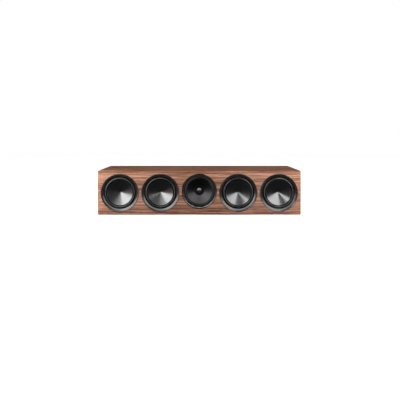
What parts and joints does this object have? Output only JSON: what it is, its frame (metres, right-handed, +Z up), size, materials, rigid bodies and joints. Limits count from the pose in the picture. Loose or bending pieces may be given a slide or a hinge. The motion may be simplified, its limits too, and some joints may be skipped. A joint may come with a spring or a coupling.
{
  "type": "center channel speaker",
  "caption": "Wide low wooden loudspeaker cabinet with a row of metal-coned bass drivers either side of a coaxial midrange and tweeter, for speech and sound under a screen.",
  "frame": {"origin": "on the standing surface, under the middle of the bounding box", "axes": "+Z up, +X to the right as seen from the front, the drivers face -Y"},
  "size_m": [1.015, 0.369, 0.22],
  "materials": {
    "veneer": "satin lacquer over straight-grained reddish brown veneer",
    "fibre_board": "raw fibre board",
    "felt": "needled felt",
    "ring_metal": "dark satin with a bright cut edge",
    "basket_metal": "black powder coat on a casting",
    "woofer_cone_metal": "satin, turned",
    "mid_cone_metal": "dark grey satin coat",
    "surround_rubber": "smooth rubber with a slight sheen",
    "coil_wire": "enamelled wire",
    "spider_cloth": "impregnated cloth",
    "motor_steel": "plated",
    "ferrite": "ground ferrite",
    "dome_metal": "satin",
    "black_plastic": "fine moulded grain",
    "post_brass": "polished plating",
    "nut_red": "moulded",
    "nut_black": "moulded",
    "screw_steel": "blackened",
    "circuit_board": "solder resist",
    "capacitor_film": "film sleeve"
  },
  "bodies": {
    "cabinet": {"bottom_panel": "veneer", "brace_left": "fibre_board", "brace_right": "fibre_board", "crossover_board": "circuit_board", "crossover_capacitors": "capacitor_film", "crossover_inductors": "coil_wire", "crossover_spacers": "black_plastic", "damping_felt": "felt", "driver_spiders": "spider_cloth", "front_baffle": "veneer", "left_side_panel": "veneer", "mid_chamber_back": "fibre_board", "mid_chamber_left_wall": "fibre_board", "mid_chamber_right_wall": "fibre_board", "midrange_basket": "basket_metal", "midrange_surround": "surround_rubber", "midrange_trim_ring": "ring_metal", "motor_magnets": "ferrite", "motor_top_plates": "motor_steel", "motor_yokes": "motor_steel", "mounting_screws": "screw_steel", "rear_panel": "veneer", "reflex_port_left": "black_plastic", "reflex_port_right": "black_plastic", "right_side_panel": "veneer", "terminal_plate": "black_plastic", "terminal_posts": "post_brass", "top_panel": "veneer", "tweeter_collar": "black_plastic", "tweeter_cup": "motor_steel", "tweeter_dome": "dome_metal", "tweeter_magnet": "motor_steel", "tweeter_pole_plate": "motor_steel", "tweeter_voice_coil": "coil_wire", "woofer_1_basket": "basket_metal", "woofer_1_surround": "surround_rubber", "woofer_1_trim_ring": "ring_metal", "woofer_2_basket": "basket_metal", "woofer_2_surround": "surround_rubber", "woofer_2_trim_ring": "ring_metal", "woofer_3_basket": "basket_metal", "woofer_3_surround": "surround_rubber", "woofer_3_trim_ring": "ring_metal", "woofer_4_basket": "basket_metal", "woofer_4_surround": "surround_rubber", "woofer_4_trim_ring": "ring_metal"},
    "woofer_1_diaphragm": {"woofer_1_cone": "woofer_cone_metal", "woofer_1_voice_coil": "coil_wire"},
    "woofer_2_diaphragm": {"woofer_2_cone": "woofer_cone_metal", "woofer_2_voice_coil": "coil_wire"},
    "woofer_3_diaphragm": {"woofer_3_cone": "woofer_cone_metal", "woofer_3_voice_coil": "coil_wire"},
    "woofer_4_diaphragm": {"woofer_4_cone": "woofer_cone_metal", "woofer_4_voice_coil": "coil_wire"},
    "midrange_diaphragm": {"midrange_cone": "mid_cone_metal", "midrange_voice_coil": "coil_wire"},
    "red_clamp": {"terminal_washer_red": "post_brass"},
    "red_nut": {"terminal_nut_red": "nut_red"},
    "black_clamp": {"terminal_washer_black": "post_brass"},
    "black_nut": {"terminal_nut_black": "nut_black"}
  },
  "joints": [
    {"name": "woofer_1_excursion", "type": "slide", "parent": "cabinet", "child": "woofer_1_diaphragm", "axis": [0, -1, 0], "range_m": [-0.006, 0.006], "stiffness_N_per_m": 1200, "deforming": ["woofer_1_surround", "driver_spiders"]},
    {"name": "woofer_2_excursion", "type": "slide", "parent": "cabinet", "child": "woofer_2_diaphragm", "axis": [0, -1, 0], "range_m": [-0.006, 0.006], "stiffness_N_per_m": 1200, "deforming": ["woofer_2_surround", "driver_spiders"]},
    {"name": "woofer_3_excursion", "type": "slide", "parent": "cabinet", "child": "woofer_3_diaphragm", "axis": [0, -1, 0], "range_m": [-0.006, 0.006], "stiffness_N_per_m": 1200, "deforming": ["woofer_3_surround", "driver_spiders"]},
    {"name": "woofer_4_excursion", "type": "slide", "parent": "cabinet", "child": "woofer_4_diaphragm", "axis": [0, -1, 0], "range_m": [-0.006, 0.006], "stiffness_N_per_m": 1200, "deforming": ["woofer_4_surround", "driver_spiders"]},
    {"name": "midrange_excursion", "type": "slide", "parent": "cabinet", "child": "midrange_diaphragm", "axis": [0, -1, 0], "range_m": [-0.003, 0.003], "stiffness_N_per_m": 2500, "deforming": ["midrange_surround", "driver_spiders"]},
    {"name": "red_clamp_slide", "type": "slide", "parent": "cabinet", "child": "red_clamp", "axis": [0, 1, 0], "range_m": [0, 0.005]},
    {"name": "red_nut_turn", "type": "hinge", "parent": "red_clamp", "child": "red_nut", "pos_m": [-0.0095, 0.1685, 0.11], "axis": [0, 1, 0], "range_deg": [0, 1440]},
    {"name": "black_clamp_slide", "type": "slide", "parent": "cabinet", "child": "black_clamp", "axis": [0, 1, 0], "range_m": [0, 0.005]},
    {"name": "black_nut_turn", "type": "hinge", "parent": "black_clamp", "child": "black_nut", "pos_m": [0.0095, 0.1685, 0.11], "axis": [0, 1, 0], "range_deg": [0, 1440]}
  ],
  "couplings": [
    {"joint": "red_nut_turn", "follows": "red_clamp_slide", "rad_per_m": 5026.5},
    {"joint": "black_nut_turn", "follows": "black_clamp_slide", "rad_per_m": 5026.5}
  ]
}
